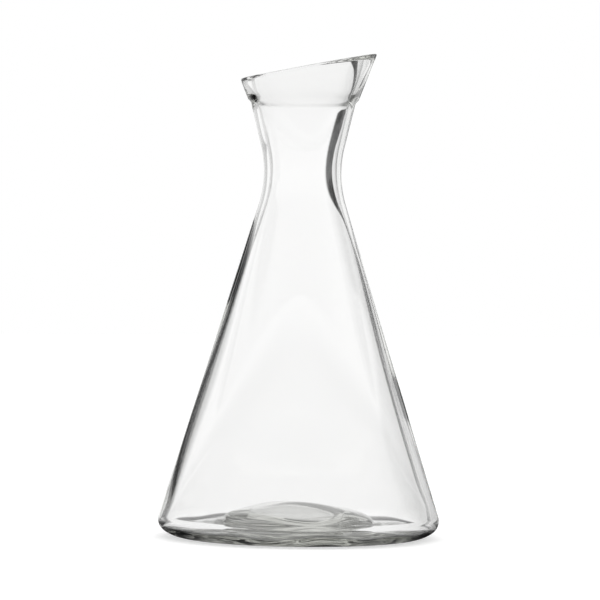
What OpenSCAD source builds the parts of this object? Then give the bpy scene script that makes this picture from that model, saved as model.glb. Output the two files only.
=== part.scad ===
// Table carafe in one piece of clear soda-lime glass, pressed and blown.
// A wide conical body closes to a slim waist and opens again into a flared
// collar, whose rim is cut on a slant so that its high side is the pouring lip.
// The carafe stands on z = 0 with its axis on z, and it pours towards +x.

/* [Body] */
// Outer diameter at the heel, the widest place
base_d = 118; // [100:1:140]
// Radius of the heel where it turns into the side
heel_r = 6; // [4:0.5:8]
// Radius of the flatter curve from the foot up to the heel
foot_curve_r = 15; // [13:0.5:20]
// How far the foot stands inside the heel
foot_inset = 11; // [9:0.5:12]

/* [Waist] */
// Outer diameter at the narrowest place
waist_d = 32.6; // [28:0.2:40]
// Height of the narrowest place
waist_h = 153; // [140:1:160]
// Radius of the outer curve through the waist
waist_curve_r = 46; // [30:1:56]
// Length of the neck, from the narrowest place up to the collar
neck_l = 30.5; // [25:0.5:35]

/* [Collar] */
// Outer diameter of the neck where it meets the collar
neck_top_d = 44; // [42:0.5:50]
// How far the collar stands out from the neck
collar_step = 1.3; // [0.6:0.1:2.5]
// Height of the slope under the collar's lower edge
collar_slope_h = 1.3; // [0.6:0.1:2.5]
// Height of the lip's highest point above the collar's lower edge
lip_rise = 20; // [17:0.5:46]
// Flare of the collar from the vertical, in degrees
collar_flare = 21.3; // [15:0.1:25]
// Slant of the rim from the horizontal, in degrees
rim_slant = 11.6; // [4:0.1:14]
// Radius of the rim's two rounded edges
rim_edge_r = 0.8; // [0.4:0.1:1.2]

/* [Foot] */
// Outer diameter of the hollow under the foot
punt_d = 35; // [26:1:66]
// Depth of the hollow under the foot
punt_h = 2.5; // [1:0.5:3.5]
// Radius of the foot's inner edge, where the hollow begins
punt_edge_r = 2; // [1:0.5:5]

/* [Glass] */
// Thickness of the side just above the heel
side_t = 3.1; // [2.5:0.1:5]
// Thickness at the waist
waist_t = 2.4; // [2:0.1:4.5]
// Thickness of the collar, measured level
collar_t = 3.9; // [3:0.1:6]
// Thickness of the floor where it meets the side
floor_t = 4.2; // [3.8:0.1:7]
// How far the floor rises from there to the edge of its raised middle
floor_rise = 2.3; // [1:0.1:4]
// Radius between the inner side and the floor
inner_heel_r = 2.5; // [2:0.1:8]
// Radius of the inner curve between the collar and the neck
inner_collar_curve_r = 10; // [6:1:30]
// Diameter of the floor's raised middle, a lens of thick glass
lens_d = 63; // [50:1:76]
// Height of the raised middle above its edge
lens_h = 7.5; // [5:0.5:12]

/* [Hidden] */

// Largest angle that one straight piece of a curve turns through, in degrees
curve_step = 3;
// Number of sections around the rim
rim_sections = 96;
// Number of straight pieces in each of the rim's rounded edges
rim_edge_steps = 6;
// How far a cut reaches past the glass that it removes
overrun = 5;
// How deep the rounded rim is rooted in the collar below its cut
rim_root = 0.4;
// How far the rim's facets lie inside the collar's true cones
rim_inset = 0.015;

base_r = base_d / 2;
waist_r = waist_d / 2;
neck_top_r = neck_top_d / 2;
punt_r = punt_d / 2;
lens_r = lens_d / 2;
foot_r = base_r - foot_inset;
collar_h = waist_h + neck_l;
overall_h = collar_h + lip_rise;
neck_h = collar_h - collar_slope_h;

// Points along a curve about centre c from angle a to angle b
function curve(c, r, a, b) =
    let (steps = ceil(abs(b - a) / curve_step))
    [for (i = [0:steps]) let (t = a + (b - a) * i / steps) c + r * [cos(t), sin(t)]];

// Angle of the normal of the straight side that touches a circle inside it
// (centre c, radius r) and a circle outside it (centre f, radius s)
function side_normal(c, r, f, s) =
    let (v = f - c)
    atan2(v[1], v[0]) - acos((r + s) / norm(v));

// The same for a side that runs from circle f up to circle c
function neck_normal(c, r, f, s) =
    let (v = f - c)
    atan2(v[1], v[0]) + acos((r + s) / norm(v));

// Centres of the outer circles in the section, [r, z] from the axis. The foot's
// curve touches the table at foot_r and runs into the heel without a corner.
foot_c = [foot_r, foot_curve_r];
heel_drop = sqrt(pow(foot_curve_r - heel_r, 2) - pow(foot_inset - heel_r, 2));
heel_c = [base_r - heel_r, foot_curve_r - heel_drop];
heel_a = -atan2(heel_drop, foot_inset - heel_r);
waist_c = [waist_r + waist_curve_r, waist_h];

// Outer side and neck, as the angles of their normals
side_a = side_normal(heel_c, heel_r, waist_c, waist_curve_r);
neck_a = neck_normal([neck_top_r, neck_h], 0, waist_c, waist_curve_r);

// The inner heel lies side_t inside the outer side, and the inner waist
// shares its centre with the outer one
side_n = [cos(side_a), sin(side_a)];
inner_heel_h = floor_t + inner_heel_r;
inner_heel_reach = side_n * heel_c + heel_r - side_t - inner_heel_r;
inner_heel_c = [(inner_heel_reach - side_n[1] * inner_heel_h) / side_n[0], inner_heel_h];
inner_waist_r = waist_curve_r + waist_t;
inner_side_a = side_normal(inner_heel_c, inner_heel_r, waist_c, inner_waist_r);

// The collar's outer and inner cones, as radius at a height
collar_r = neck_top_r + collar_step;
collar_rise = tan(collar_flare);
function collar_outer(z) = collar_r + collar_rise * (z - collar_h);
function collar_inner(z) = collar_outer(z) - collar_t;

// The rim's plane rises towards +x. Its edge above the lip is set so that the
// rounded lip, and not the sharp corner before rounding, is overall_h high.
lip_half_a = (90 - collar_flare - rim_slant) / 2;
lip_drop = rim_edge_r * (cos(collar_flare) / tan(lip_half_a) - sin(collar_flare) - 1);
lip_h = overall_h + lip_drop;
rim_rise = tan(rim_slant);
rim_centre_h = lip_h - rim_rise * collar_outer(lip_h);

// The collar is cut this far under the rim's plane, below its rounded edges
rim_cut = rim_edge_r * cos(collar_flare) / tan(lip_half_a) + rim_root;

// Outer outline, from the middle of the hollow under the foot up to the collar
function foot_outline() =
    let (
        cap_r = (pow(punt_r, 2) + pow(punt_h, 2)) / (2 * punt_h),
        cap_c = [0, punt_h - cap_r],
        edge_c = [sqrt(pow(cap_r + punt_edge_r, 2) - pow(punt_edge_r - cap_c[1], 2)),
                  punt_edge_r],
        touch_a = atan2(edge_c[1] - cap_c[1], edge_c[0])
    )
    concat(
        curve(cap_c, cap_r, 90, touch_a),
        curve(edge_c, punt_edge_r, touch_a + 180, 270),
        curve(foot_c, foot_curve_r, -90, heel_a),
        curve(heel_c, heel_r, heel_a, side_a)
    );

function outer_outline() =
    concat(
        foot_outline(),
        curve(waist_c, waist_curve_r, side_a + 180, neck_a + 180),
        [[neck_top_r, neck_h], [collar_r, collar_h]]
    );

// Inner outline, from the collar down to the middle of the floor
function inner_outline() =
    let (
        // the inner neck runs beside the outer one, waist_t thick
        neck_n = [cos(neck_a), sin(neck_a)],
        neck_d = neck_n * [neck_top_r, neck_h] - waist_t,
        // a curve that touches the collar's inner cone and the inner neck
        flare_n = [cos(collar_flare), -sin(collar_flare)],
        flare_d = flare_n * [collar_inner(collar_h), collar_h],
        bend_c = meeting(neck_n, neck_d + inner_collar_curve_r,
                         flare_n, flare_d + inner_collar_curve_r)
    )
    concat(
        curve(bend_c, inner_collar_curve_r, 180 - collar_flare, neck_a + 180),
        curve(waist_c, inner_waist_r, neck_a + 180, inner_side_a + 180),
        curve(inner_heel_c, inner_heel_r, inner_side_a, -90),
        lens_outline()
    );

// Point where the lines n * p = d and m * p = e meet
function meeting(n, d, m, e) =
    [d * m[1] - e * n[1], n[0] * e - m[0] * d] / (n[0] * m[1] - n[1] * m[0]);

// Raised middle of the floor: a quarter of an ellipse from its edge to the axis
function lens_outline() =
    let (steps = ceil(90 / curve_step))
    [for (i = [0:steps]) let (t = 90 * i / steps)
        [lens_r * cos(t), floor_t + floor_rise + lens_h * sin(t)]];

module vessel_section() {
    top_h = overall_h + overrun;
    polygon(concat(
        outer_outline(),
        [[collar_outer(top_h), top_h], [collar_inner(top_h), top_h]],
        inner_outline()
    ));
}

// Everything above the slanted cut, under which the rounded rim is rooted
module above_rim_cut() {
    size = 2 * (collar_outer(overall_h) + overrun);
    translate([0, 0, rim_centre_h - rim_cut])
        rotate([0, -rim_slant, 0])
            translate([-size / 2, -size / 2, 0])
                cube([size, size, overall_h - collar_h + overrun]);
}

// Section of the rim at angle a about the axis, as [r, z] points: up the
// outside, round both edges and down the inside
function rim_section(a) =
    let (
        rise = rim_rise * cos(a),
        slope = atan(rise),
        out = collar_outer(0) - rim_inset,
        in = collar_inner(0) + rim_inset,
        out_z = (rim_centre_h + rise * out) / (1 - rise * collar_rise),
        in_z = (rim_centre_h + rise * in) / (1 - rise * collar_rise),
        up = [sin(collar_flare), cos(collar_flare)],
        side = [cos(collar_flare), -sin(collar_flare)],
        lean = (collar_flare + slope) / 2,
        out_c = [out + collar_rise * out_z, out_z]
            - up * rim_edge_r / tan(45 - lean) - side * rim_edge_r,
        in_c = [in + collar_rise * in_z, in_z]
            - up * rim_edge_r / tan(45 + lean) + side * rim_edge_r,
        root = rim_cut + rim_root
    )
    concat(
        [[out + collar_rise * (out_z - root), out_z - root]],
        [for (i = [0:rim_edge_steps])
            let (t = -collar_flare + (90 + slope + collar_flare) * i / rim_edge_steps)
            out_c + rim_edge_r * [cos(t), sin(t)]],
        [for (i = [0:rim_edge_steps])
            let (t = 90 + slope + (90 - slope - collar_flare) * i / rim_edge_steps)
            in_c + rim_edge_r * [cos(t), sin(t)]],
        [[in + collar_rise * (in_z - root), in_z - root]]
    );

// The rounded rim, swept around the slanted cut
module rounded_rim() {
    count = 2 * rim_edge_steps + 4;
    points = [for (k = [0:rim_sections - 1])
        let (a = 360 * k / rim_sections)
        for (p = rim_section(a)) [p[0] * cos(a), p[0] * sin(a), p[1]]];
    faces = [for (k = [0:rim_sections - 1], i = [0:count - 1])
        let (
            k2 = (k + 1) % rim_sections,
            i2 = (i + 1) % count,
            p = k * count + i,
            q = k * count + i2,
            r = k2 * count + i2,
            s = k2 * count + i
        )
        each [[p, q, r], [p, r, s]]];
    polyhedron(points, faces);
}

module glass_vessel() {
    color([0.86, 0.9, 0.88, 0.35]) {
        difference() {
            rotate_extrude($fn = 180) vessel_section();
            above_rim_cut();
        }
        rounded_rim();
    }
}

glass_vessel();
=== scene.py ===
import math

import bmesh
import bpy
from mathutils import Matrix, Vector


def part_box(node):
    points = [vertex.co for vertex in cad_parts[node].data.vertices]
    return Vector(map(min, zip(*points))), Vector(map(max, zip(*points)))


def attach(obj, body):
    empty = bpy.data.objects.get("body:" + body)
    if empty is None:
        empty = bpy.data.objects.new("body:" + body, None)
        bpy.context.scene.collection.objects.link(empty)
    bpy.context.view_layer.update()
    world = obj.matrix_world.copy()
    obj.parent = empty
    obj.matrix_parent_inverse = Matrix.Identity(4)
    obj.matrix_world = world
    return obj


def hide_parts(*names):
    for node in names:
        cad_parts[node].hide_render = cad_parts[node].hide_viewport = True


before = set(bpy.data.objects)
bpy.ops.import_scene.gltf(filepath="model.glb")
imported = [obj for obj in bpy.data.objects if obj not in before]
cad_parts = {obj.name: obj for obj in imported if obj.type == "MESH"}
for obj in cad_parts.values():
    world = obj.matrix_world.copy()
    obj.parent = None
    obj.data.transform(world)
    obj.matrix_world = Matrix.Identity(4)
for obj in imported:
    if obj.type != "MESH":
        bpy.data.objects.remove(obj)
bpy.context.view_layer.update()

# The carafe is seen from the level of its middle, from a good metre away
# through a long lens, with its lip to the right and turned a little away.
# The camera was rolled a fraction of a degree, so that the carafe leans.
camera_distance = 1.155
camera_height = 0.0994
camera_turn = math.radians(18.8)
camera_roll = math.radians(-0.676)
camera_aside = -0.0016

camera_data = bpy.data.cameras.new("camera")
camera_data.sensor_width = 36
camera_data.lens = 165
camera_data.shift_x = camera_aside
camera = bpy.data.objects.new("camera", camera_data)
camera.location = (
    -camera_distance * math.sin(camera_turn),
    -camera_distance * math.cos(camera_turn),
    camera_height,
)
camera.rotation_euler = (math.radians(90), camera_roll, -camera_turn)
bpy.context.collection.objects.link(camera)
bpy.context.scene.camera = camera

# The vessel is one piece of clear soda-lime glass. Its foot, side, waist and
# collar are one round form with a thick floor, blown in a mould. The rim is
# cut on a slant afterwards, and its two edges are melted round.
overall_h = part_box("glass_vessel")[1][2]
base_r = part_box("glass_vessel")[1][1]
heel_r = 0.006
foot_curve_r = 0.015
foot_inset = 0.011
waist_r = 0.0163
waist_h = 0.153
waist_curve_r = 0.046
neck_top_r = 0.022
collar_h = 0.1835
collar_step = 0.0013
collar_slope_h = 0.0013
collar_flare = math.radians(21.3)
rim_slant = math.radians(11.6)
rim_bevel = 0.0011
punt_r = 0.0175
punt_h = 0.0025
punt_edge_r = 0.002
side_t = 0.0031
waist_t = 0.0024
collar_t = 0.0039
floor_t = 0.0042
floor_rise = 0.0023
inner_heel_r = 0.0025
inner_collar_curve_r = 0.010
lens_r = 0.0315
lens_h = 0.0075

# How finely curves, the full turn, straight lines and the rim's rounded edges
# are divided, and how near two points are that count as one
round_step = math.radians(2)
turn_steps = 320
straight_step = 0.004
rim_edge_steps = 6
touching = 1e-7


def section_point(r, z):
    return Vector((r, 0, z))


def tangent_normal(inside, inside_r, outside, outside_r, upward=False):
    """Angle of the normal of a line that has the first circle under it and the second over it."""
    across = outside - inside
    lean = math.acos((inside_r + outside_r) / across.length)
    return math.atan2(across.z, across.x) + (lean if upward else -lean)


def along_normal(angle):
    return Vector((math.cos(angle), 0, math.sin(angle)))


def meeting(normal, reach, other, other_reach):
    """Where the lines normal * p = reach and other * p = other_reach cross in the section."""
    turn = normal.x * other.z - normal.z * other.x
    return section_point(
        (reach * other.z - other_reach * normal.z) / turn,
        (normal.x * other_reach - other.x * reach) / turn,
    )


def line_to(bm, last, point):
    """Draw the outline on from its last vertex in a straight line, in short pieces."""
    steps = max(1, round((point - last.co).length / straight_step))
    start = last.co.copy()
    for i in range(1, steps + 1):
        after = bm.verts.new(start.lerp(point, i / steps))
        bm.edges.new((last, after))
        last = after
    return last


def curve_round(bm, last, centre, angle):
    """Draw the outline on from its last vertex round a centre."""
    steps = max(1, round(abs(angle) / round_step))
    spun = bmesh.ops.spin(
        bm, geom=[last], cent=centre, axis=(0, 1, 0), angle=-angle, steps=steps
    )
    return next(g for g in spun["geom_last"] if isinstance(g, bmesh.types.BMVert))


# Centres of the outer circles, and the normals of the side and the neck
foot = section_point(base_r - foot_inset, foot_curve_r)
heel_drop = math.sqrt((foot_curve_r - heel_r) ** 2 - (foot_inset - heel_r) ** 2)
heel = section_point(base_r - heel_r, foot_curve_r - heel_drop)
heel_a = -math.atan2(heel_drop, foot_inset - heel_r)
waist = section_point(waist_r + waist_curve_r, waist_h)
neck_top = section_point(neck_top_r, collar_h - collar_slope_h)
side_a = tangent_normal(heel, heel_r, waist, waist_curve_r)
neck_a = tangent_normal(neck_top, 0, waist, waist_curve_r, upward=True)
side_n = along_normal(side_a)
neck_n = along_normal(neck_a)

# The hollow under the foot, a cap of a sphere with a rounded edge
cap_r = (punt_r**2 + punt_h**2) / (2 * punt_h)
cap = section_point(0, punt_h - cap_r)
punt_edge = section_point(
    math.sqrt((cap_r + punt_edge_r) ** 2 - (punt_edge_r - cap.z) ** 2), punt_edge_r
)
punt_touch = math.atan2(punt_edge.z - cap.z, punt_edge.x)

# Centres of the inner circles, set by the glass's thickness
inner_heel_h = floor_t + inner_heel_r
inner_heel_reach = side_n.dot(heel) + heel_r - side_t - inner_heel_r
inner_heel = section_point(
    (inner_heel_reach - side_n.z * inner_heel_h) / side_n.x, inner_heel_h
)
inner_waist_r = waist_curve_r + waist_t
inner_side_a = tangent_normal(inner_heel, inner_heel_r, waist, inner_waist_r)
lens_foot = section_point(0, floor_t + floor_rise)

# The collar's two cones, and the inner curve that leads into them. They are
# drawn up past the lip, for the slanted cut to go through.
flare_up = Vector((math.sin(collar_flare), 0, math.cos(collar_flare)))
flare_n = Vector((math.cos(collar_flare), 0, -math.sin(collar_flare)))
collar_edge = section_point(neck_top_r + collar_step, collar_h)
inner_collar_edge = collar_edge - section_point(collar_t, 0)
bend = meeting(
    neck_n,
    neck_n.dot(neck_top) - waist_t + inner_collar_curve_r,
    flare_n,
    flare_n.dot(inner_collar_edge) + inner_collar_curve_r,
)
spare = 1.3
drawn_length = (overall_h - collar_h) * spare

# The outer outline, from the middle of the hollow up to the collar
bm = bmesh.new()
inside = bm.verts.layers.float.new("inside")
last = bm.verts.new(section_point(0, punt_h))
last = curve_round(bm, last, cap, punt_touch - math.pi / 2)
last = curve_round(bm, last, punt_edge, math.radians(270) - (punt_touch + math.pi))
last = line_to(bm, last, section_point(foot.x, 0))
last = curve_round(bm, last, foot, heel_a + math.pi / 2)
last = curve_round(bm, last, heel, side_a - heel_a)
last = line_to(bm, last, waist - side_n * waist_curve_r)
last = curve_round(bm, last, waist, neck_a - side_a)
last = line_to(bm, last, neck_top)
last = line_to(bm, last, collar_edge)
outer_top = bm.verts.new(collar_edge + flare_up * drawn_length)
bm.edges.new((last, outer_top))

# The inner outline, from the middle of the floor up to the collar
outer = set(bm.verts)
last = bm.verts.new(lens_foot + section_point(0, lens_r))
last = curve_round(bm, last, lens_foot, -math.pi / 2)
lens = [v for v in bm.verts if v not in outer]
flatten = Matrix.Diagonal((1, 1, lens_h / lens_r, 1))
bmesh.ops.transform(bm, matrix=flatten, space=Matrix.Translation(-lens_foot), verts=lens)
last = line_to(bm, last, section_point(inner_heel.x, floor_t))
last = curve_round(bm, last, inner_heel, inner_side_a + math.pi / 2)
last = line_to(bm, last, waist - along_normal(inner_side_a) * inner_waist_r)
last = curve_round(bm, last, waist, neck_a - inner_side_a)
last = line_to(bm, last, bend - neck_n * inner_collar_curve_r)
last = curve_round(bm, last, bend, -collar_flare - neck_a)
inner_top = bm.verts.new(inner_collar_edge + flare_up * drawn_length)
bm.edges.new((last, inner_top))
for v in bm.verts:
    v[inside] = 0 if v in outer else 1

bmesh.ops.spin(
    bm,
    geom=bm.verts[:] + bm.edges[:],
    cent=(0, 0, 0),
    axis=(0, 0, 1),
    angle=math.tau,
    steps=turn_steps,
    use_merge=True,
)
bmesh.ops.remove_doubles(bm, verts=bm.verts[:], dist=touching)


def ease(value, start, end):
    """0 below start, 1 above end and smooth between them."""
    part = min(1, max(0, (value - start) / (end - start)))
    return part * part * (3 - 2 * part)


# The mould shaped only the outside. The inside was blown free: its side has
# long faint waves that run up it, and its floor has shorter and higher ones.
# A wave has its share of the height, its pace round and up the side or along x
# and y on the floor, and its start. The pairs are where the waves fade in or out,
# and where the floor's waves grow to twice their height.
side_wave = 0.00012
side_waves = [(1, 2, 60, 0.5), (0.6, 5, -35, 2)]
side_begins = (0.01, 0.04)
side_ends = (0.14, 0.175)
floor_wave = 0.00035
floor_waves = [(1, 190, 80, 1), (0.7, -120, 150, 2.2)]
floor_doubles = (0.032, 0.042)
floor_ends = (0.050, 0.057)
floor_top = (0.016, 0.02)
for v in bm.verts:
    if v[inside] > 0.5:
        x, y, z = v.co
        r = math.hypot(x, y)
        turn = math.atan2(y, x)
        swell = sum(a * math.sin(n * turn + k * z + s) for a, n, k, s in side_waves)
        swell = side_wave * swell * ease(z, *side_begins) * (1 - ease(z, *side_ends))
        ripple = sum(a * math.sin(n * x + k * y + s) for a, n, k, s in floor_waves)
        ripple = floor_wave * ripple * (1 + ease(r, *floor_doubles))
        ripple = ripple * (1 - ease(r, *floor_ends)) * (1 - ease(z, *floor_top))
        if r > 0:
            v.co.x += swell * x / r
            v.co.y += swell * y / r
        v.co.z += ripple

# The slanted cut. Its plane is set so that the lip is overall_h high once its
# edges are rounded.
lip_half = (math.pi / 2 - collar_flare - rim_slant) / 2
lip_round = math.tan(lip_half) * (math.sin(collar_flare) + 1)
lip_h = overall_h + rim_bevel * (math.cos(collar_flare) - lip_round)
lip_reach = collar_edge.x + math.tan(collar_flare) * (lip_h - collar_h)
rim_point = Vector((lip_reach, 0, lip_h))
rim_n = Vector((-math.sin(rim_slant), 0, math.cos(rim_slant)))


def rim_turn(v):
    """Number of the section that a vertex lies in, counted round the axis."""
    return round(math.atan2(v.co.y, v.co.x) / math.tau * turn_steps) % turn_steps


def on_rim(edge):
    """True for an edge that runs round the slanted cut, on its outside or its inside."""
    flat = all(abs((v.co - rim_point).dot(rim_n)) < touching for v in edge.verts)
    return flat and rim_turn(edge.verts[0]) != rim_turn(edge.verts[1])


bmesh.ops.bisect_plane(
    bm,
    geom=bm.verts[:] + bm.edges[:] + bm.faces[:],
    plane_co=rim_point,
    plane_no=rim_n,
    clear_outer=True,
)

# The cut's outer edge is drawn across to its inner one, and both are rounded
rim = [e for e in bm.edges if e.is_boundary]
outer_rim = [e for e in rim if e.verts[0][inside] < 0.5]
inner_rim = {rim_turn(v): v for e in rim for v in e.verts if v[inside] > 0.5}
across = bmesh.ops.extrude_edge_only(bm, edges=outer_rim)
for v in across["geom"]:
    if isinstance(v, bmesh.types.BMVert):
        v.co = inner_rim[rim_turn(v)].co
bmesh.ops.remove_doubles(bm, verts=bm.verts[:], dist=touching)
bmesh.ops.recalc_face_normals(bm, faces=bm.faces[:])
bmesh.ops.bevel(
    bm,
    geom=[e for e in bm.edges if on_rim(e)],
    offset=rim_bevel,
    affect="EDGES",
    segments=rim_edge_steps,
    profile=0.5,
    material=-1,
)

mesh = bpy.data.meshes.new("carafe_glass")
bm.to_mesh(mesh)
bm.free()
for polygon in mesh.polygons:
    polygon.use_smooth = True
glass = bpy.data.objects.new("carafe_glass", mesh)
bpy.context.collection.objects.link(glass)


class Wire:
    """One output of a shader node. Sums and products of wires add Math nodes."""

    def __init__(self, tree, socket=None):
        self.tree = tree
        self.socket = socket

    def node(self, kind, settings=None, values=None, output=0):
        """A new node in the same tree, with its settings and what its inputs get."""
        made = self.tree.nodes.new(kind)
        for name, value in (settings or {}).items():
            setattr(made, name, value)
        for name, value in (values or {}).items():
            if isinstance(value, Wire):
                self.tree.links.new(value.socket, made.inputs[name])
            else:
                made.inputs[name].default_value = value
        return Wire(self.tree, made.outputs[output])

    def other(self, output):
        """Another output of the same node."""
        return Wire(self.tree, self.socket.node.outputs[output])

    def into(self, node, name):
        """Link this output to an input of a node that the tree starts with."""
        self.tree.links.new(self.socket, self.tree.nodes[node].inputs[name])

    def math(self, operation, *values):
        return self.node("ShaderNodeMath", {"operation": operation}, dict(enumerate(values)))

    def __add__(self, other):
        return self.math("ADD", self, other)

    def __sub__(self, other):
        return self.math("SUBTRACT", self, other)

    def __rsub__(self, other):
        return self.math("SUBTRACT", other, self)

    def __mul__(self, other):
        return self.math("MULTIPLY", self, other)

    __radd__ = __add__
    __rmul__ = __mul__

    def rise(self, start, end):
        """0 below start, 1 above end and smooth between them."""
        return self.node(
            "ShaderNodeMapRange",
            {"interpolation_type": "SMOOTHSTEP"},
            {"Value": self, "From Min": start, "From Max": end},
        )

    def past(self, fade):
        """0 while this wire is below zero and 1 above it, with a soft edge."""
        return self.rise(-fade, fade)

    def along(self, table, column=1):
        """The table's column as a smooth curve, read at this wire's place in the first column."""
        reach = table[-1][0]
        peak = max(row[column] for row in table)
        part = self.math("DIVIDE", self, reach)
        curve = self.node("ShaderNodeFloatCurve", {}, {"Value": part})
        mapping = curve.socket.node.mapping
        mapping.extend = "HORIZONTAL"
        line = mapping.curves[0]
        for row in table[1:-1]:
            line.points.new(row[0] / reach, row[column] / peak)
        line.points[0].location = (table[0][0] / reach, table[0][column] / peak)
        line.points[-1].location = (1, table[-1][column] / peak)
        mapping.update()
        return curve * peak


def new_material(name):
    """A material with only its output node, and a wire for its nodes to start from."""
    material = bpy.data.materials.new(name)
    material.use_nodes = True
    tree = material.node_tree
    tree.nodes.remove(tree.nodes["Principled BSDF"])
    return material, Wire(tree)


# Clear glass with a faint grey-green tint that shows where it is thick. Light on
# its way to the table goes straight through, a little dimmed, for a pale shadow.
glass_ior = 1.52
tint = (0.62, 0.635, 0.56, 1)
tint_density = 10.0
shadow_tint = (0.93, 0.94, 0.935, 1)
white = (1, 1, 1, 1)

clear_glass, start = new_material("clear_glass")
bulk = start.node(
    "ShaderNodeBsdfPrincipled",
    {},
    {"Base Color": white, "Roughness": 0, "IOR": glass_ior, "Transmission Weight": 1},
)
shadow = start.node("ShaderNodeBsdfTransparent", {}, {"Color": shadow_tint})
shadow_ray = start.node("ShaderNodeLightPath", output="Is Shadow Ray")
blend = start.node("ShaderNodeMixShader", {}, {"Fac": shadow_ray, 1: bulk, 2: shadow})
blend.into("Material Output", "Surface")
depth = start.node("ShaderNodeVolumeAbsorption", {}, {"Color": tint, "Density": tint_density})
depth.into("Material Output", "Volume")
glass.data.materials.append(clear_glass)

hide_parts("glass_vessel")
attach(glass, "root")

# The studio is a tent of white cloth round the carafe. Dark cards hang on it and
# give the glass its outlines: a narrow black strip behind its right side, a wide
# card behind its left side, and a third card further round to the right.
tent_r = 0.12
tent_h = 0.7
tent_sides = 180

# Each card is cut to follow the carafe's outline. A row has a height, then the
# card's edge in degrees round the carafe from straight behind it, its width from
# there or its far edge, and how dark it is, from 0 for white to 1 for black.
edge, width, far_edge, dark = 1, 2, 2, 3
strip_card = [
    (0, 41.9, 1.18),
    (0.03, 37.85, 7.11),
    (0.06, 34.91, 7.23),
    (0.09, 32.57, 7.5),
    (0.112, 30.88, 8.08),
    (0.128, 30.83, 6.6),
    (0.14, 24.32, 12),
    (0.152, 13.3, 7),
    (0.164, 12.8, 10),
    (0.178, 14, 15),
    (0.188, 17, 11),
    (0.197, 26, 11),
    (0.207, 31, 7),
]
wide_card = [
    (0, 51.14, 4.02, 0.78),
    (0.03, 42.63, 23.86, 0.96),
    (0.06, 35.83, 34.89, 0.94),
    (0.09, 33.4, 41.01, 0.92),
    (0.112, 30.7, 41.3, 0.97),
    (0.128, 28.37, 39, 0.97),
    (0.14, 24.83, 39, 0.9),
    (0.152, 23.13, 26.4, 0.6),
    (0.164, 22.55, 18.06, 0.45),
    (0.178, 25, 30, 0.42),
    (0.192, 27, 34, 0.4),
    (0.207, 28, 34, 0.4),
]
side_card = [
    (0, 82.6, 61.8, 0.2),
    (0.06, 62.1, 100, 0.8),
    (0.13, 46.6, 77.5, 0.9),
    (0.15, 50.8, 90, 0.75),
    (0.2, 57, 82, 0.75),
]

# Grey cloth beside the strip, over the tent's front, and as a veil round its top
beside_grey = [(0, 0.45), (0.06, 0.2), (0.13, 0.11), (0.15, 0.05), (0.2, 0.3)]
front_grey = [(0, 0.5), (0.1, 0.08), (0.2, 0.3)]
veil_grey = [(0, 0), (0.1, 0), (0.2, 0), (0.23, 0.15), (0.27, 0.7), (0.32, 0.7), (0.45, 0.3)]

# How soft the cards' edges are in degrees, between which degrees the cloth beside
# the strip ends, where the dimmer front begins on the way from the carafe's axis
# to the camera, and between which heights the opening at the back ends
strip_fade = 1
wide_fade = 2
side_fade = 4
beside_end = (100, 120)
front_begins = (-0.012, 0.072)
gap_top = (0.09, 0.13)


def studio_at(spot):
    """Brightness of the tent at a position, and how far it is open there, low at the back."""
    x = spot.node("ShaderNodeSeparateXYZ", {}, {"Vector": spot})
    y, z = x.other("Y"), x.other("Z")
    front = -math.sin(camera_turn) * x - math.cos(camera_turn) * y
    turn = spot.math("ARCTAN2", x, y) * math.degrees(1) - math.degrees(camera_turn)
    turn = spot.math("WRAP", turn, 180.0, -180.0)
    strip_in = turn - z.along(strip_card, edge)
    strip_out = strip_in - z.along(strip_card, width)
    strip = strip_in.past(strip_fade) * (1 - strip_out.past(strip_fade))
    beside = z.along(beside_grey) * strip_out.rise(-strip_fade, side_fade)
    beside = beside * (1 - turn.rise(*beside_end))
    side_in = turn - z.along(side_card, edge)
    side_out = turn - z.along(side_card, far_edge)
    side = z.along(side_card, dark) * side_in.past(side_fade) * (1 - side_out.past(side_fade))
    wide_in = -1 * turn - z.along(wide_card, edge)
    wide_out = wide_in - z.along(wide_card, width)
    wide = z.along(wide_card, dark) * wide_in.past(wide_fade) * (1 - wide_out.past(wide_fade))
    dim = z.along(front_grey) * front.rise(*front_begins)
    level = (1 - strip) * (1 - beside) * (1 - side) * (1 - wide)
    level = level * (1 - dim) * (1 - z.along(veil_grey))
    gap = (1 - strip_in.past(strip_fade)) * (1 - wide_in.past(wide_fade))
    return level, gap * (1 - z.rise(*gap_top))


tent_mesh = bpy.data.meshes.new("tent")
bm = bmesh.new()
bmesh.ops.create_cone(
    bm, segments=tent_sides, radius1=tent_r, radius2=tent_r, depth=tent_h, cap_ends=False
)
bmesh.ops.translate(bm, verts=bm.verts[:], vec=(0, 0, tent_h / 2))
bm.to_mesh(tent_mesh)
bm.free()
tent = bpy.data.objects.new("tent", tent_mesh)
bpy.context.collection.objects.link(tent)
for kind in ("camera", "diffuse", "shadow", "volume_scatter"):
    setattr(tent, "visible_" + kind, False)
tent_cloth, start = new_material("tent_cloth")
spot = start.node("ShaderNodeTexCoord", output="Object")
level, gap = studio_at(spot)
cloth = spot.node("ShaderNodeEmission", {}, {"Color": level})
hole = spot.node("ShaderNodeBsdfTransparent")
blend = spot.node("ShaderNodeMixShader", {}, {"Fac": gap, 1: cloth, 2: hole})
blend.into("Material Output", "Surface")
tent.data.materials.append(tent_cloth)

# The room is white as the camera sees it and as it lights the table. Through the
# glass and the tent's gap its wall is white too, and the room is darker over the
# wall's top, which is given as the sine of its angle above level.
wall_top = (0.12, 0.22)
room_dark = 0.3

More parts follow.
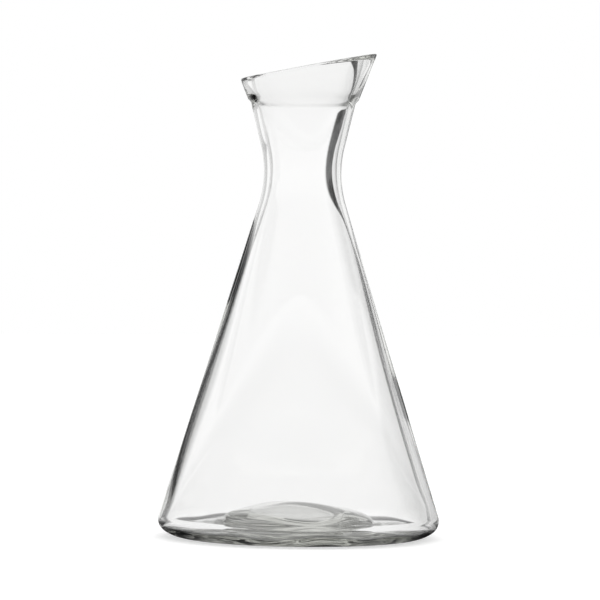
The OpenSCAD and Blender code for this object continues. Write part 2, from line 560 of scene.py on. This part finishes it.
world = bpy.data.worlds.new("studio")
bpy.context.scene.world = world
world.use_nodes = True
way = Wire(world.node_tree).node("ShaderNodeTexCoord", output="Generated")
rising = way.node("ShaderNodeSeparateXYZ", {}, {"Vector": way}, "Z")
seen = way.node("ShaderNodeLightPath", output="Is Camera Ray")
lighting = seen.other("Is Diffuse Ray")
level = 1 - room_dark * rising.rise(*wall_top)
level = way.math("MAXIMUM", way.math("MAXIMUM", level, seen), lighting)
level.into("Background", "Color")

# The table is a plain pale sheet, white in the picture. Seen through the glass or
# mirrored in it, it glows with a painted shadow that is dark under and round the
# foot and darkest at the foot's two sides, which gives the foot its greys.
table_size = 6.0
table_gap = 0.0002
table_colour = (0.8, 0.8, 0.8, 1)
table_glow = 0.4
table_shade = 0.2
shade_from = 0.06
shade_to = 0.12
side_shade = 0.9
side_shade_from = 0.03
side_shade_to = 0.055

table_mesh = bpy.data.meshes.new("table")
bm = bmesh.new()
bmesh.ops.create_grid(bm, x_segments=1, y_segments=1, size=table_size)
bmesh.ops.translate(bm, verts=bm.verts[:], vec=(0, 0, -table_gap))
bm.to_mesh(table_mesh)
bm.free()
table = bpy.data.objects.new("table", table_mesh)
bpy.context.collection.objects.link(table)

white_table, start = new_material("white_table")
seen = start.node("ShaderNodeLightPath", output="Is Camera Ray")
by_glass = seen.math("MAXIMUM", seen.other("Is Transmission Ray"), seen.other("Is Glossy Ray"))
sheet = start.node(
    "ShaderNodeBsdfPrincipled",
    {},
    {
        "Base Color": table_colour,
        "Roughness": 1,
        "Specular IOR Level": 0,
        "Emission Color": seen * table_glow,
        "Emission Strength": 1,
    },
)
spot = start.node("ShaderNodeTexCoord", output="Object")
x = spot.node("ShaderNodeSeparateXYZ", {}, {"Vector": spot})
y = x.other("Y")
# The painted shadow that only the glass sees: dark within shade_from of the axis, fading out by
# shade_to, and darker still at the foot's two sides
far = (x * x + y * y).rise(shade_from**2, shade_to**2)
aside = math.cos(camera_turn) * x - math.sin(camera_turn) * y
beside = (aside * aside).rise(side_shade_from**2, side_shade_to**2)
shade = table_shade * (1 - side_shade * beside) * (1 - far) + far
shaded = start.node("ShaderNodeEmission", {}, {"Color": shade})
blend = start.node("ShaderNodeMixShader", {}, {"Fac": by_glass, 1: sheet, 2: shaded})
blend.into("Material Output", "Surface")
table.data.materials.append(white_table)

bpy.context.scene.view_settings.view_transform = "Standard"

# Light runs a long way round inside the thick foot before it comes out
bpy.context.scene.cycles.max_bounces = 24
bpy.context.scene.cycles.glossy_bounces = 16
bpy.context.scene.cycles.transmission_bounces = 24
